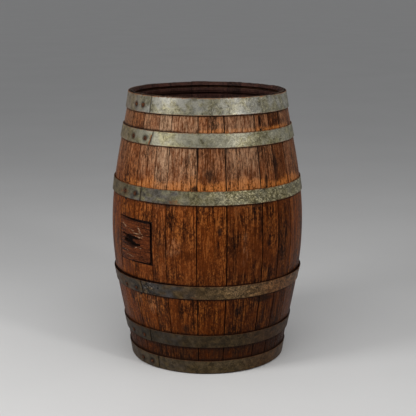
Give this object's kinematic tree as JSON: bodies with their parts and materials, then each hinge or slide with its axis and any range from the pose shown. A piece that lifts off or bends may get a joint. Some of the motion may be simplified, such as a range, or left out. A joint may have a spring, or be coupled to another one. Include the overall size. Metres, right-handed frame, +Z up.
{
  "type": "oak wine barrel",
  "caption": "Upright coopered oak barrel with an open top, riveted steel hoops, a boarded bottom head and a lift-out hatch panel at the bilge.",
  "frame": {"origin": "centre of the base, in the plane of the lower stave ends", "axes": "+Z up through the open top, -Y towards the front, so that the hatch lies to the front left, +X to the right"},
  "size_m": [0.68, 0.6799, 0.95],
  "materials": {
    "stave_oak": "dark stained, worn, satin",
    "hatch_oak": "dark stained, splintered at the hollow",
    "head_oak": "raw, weathered",
    "hoop_steel": "old galvanised, mottled, rust at the edges",
    "rivet_steel": "rusted",
    "nail_iron": "blackened"
  },
  "bodies": {
    "barrel": {"stave_01": "stave_oak", "stave_02": "stave_oak", "stave_03": "stave_oak", "stave_04": "stave_oak", "stave_05": "stave_oak", "stave_06": "stave_oak", "stave_07": "stave_oak", "stave_08": "stave_oak", "stave_09": "stave_oak", "stave_10": "stave_oak", "stave_11": "stave_oak", "stave_12": "stave_oak", "stave_13": "stave_oak", "stave_14": "stave_oak", "stave_15": "stave_oak", "stave_16": "stave_oak", "stave_17": "stave_oak", "stave_18": "stave_oak", "stave_19": "stave_oak", "stave_20": "stave_oak", "stave_21": "stave_oak", "stave_22": "stave_oak", "stave_23": "stave_oak", "stave_24": "stave_oak", "top_head_hoop": "hoop_steel", "top_quarter_hoop": "hoop_steel", "top_bilge_hoop": "hoop_steel", "bottom_bilge_hoop": "hoop_steel", "bottom_quarter_hoop": "hoop_steel", "bottom_head_hoop": "hoop_steel", "head_board_1": "head_oak", "head_board_2": "head_oak", "head_board_3": "head_oak", "head_board_4": "head_oak", "head_board_5": "head_oak", "head_board_6": "head_oak", "head_dowels": "head_oak", "hoop_rivets": "rivet_steel", "hoop_nails": "nail_iron"},
    "hatch": {"hatch_panel": "hatch_oak"}
  },
  "joints": [
    {"name": "hatch_pull", "type": "slide", "parent": "barrel", "child": "hatch", "axis": [-0.7314, -0.682, 0], "range_m": [0, 0.12]}
  ]
}
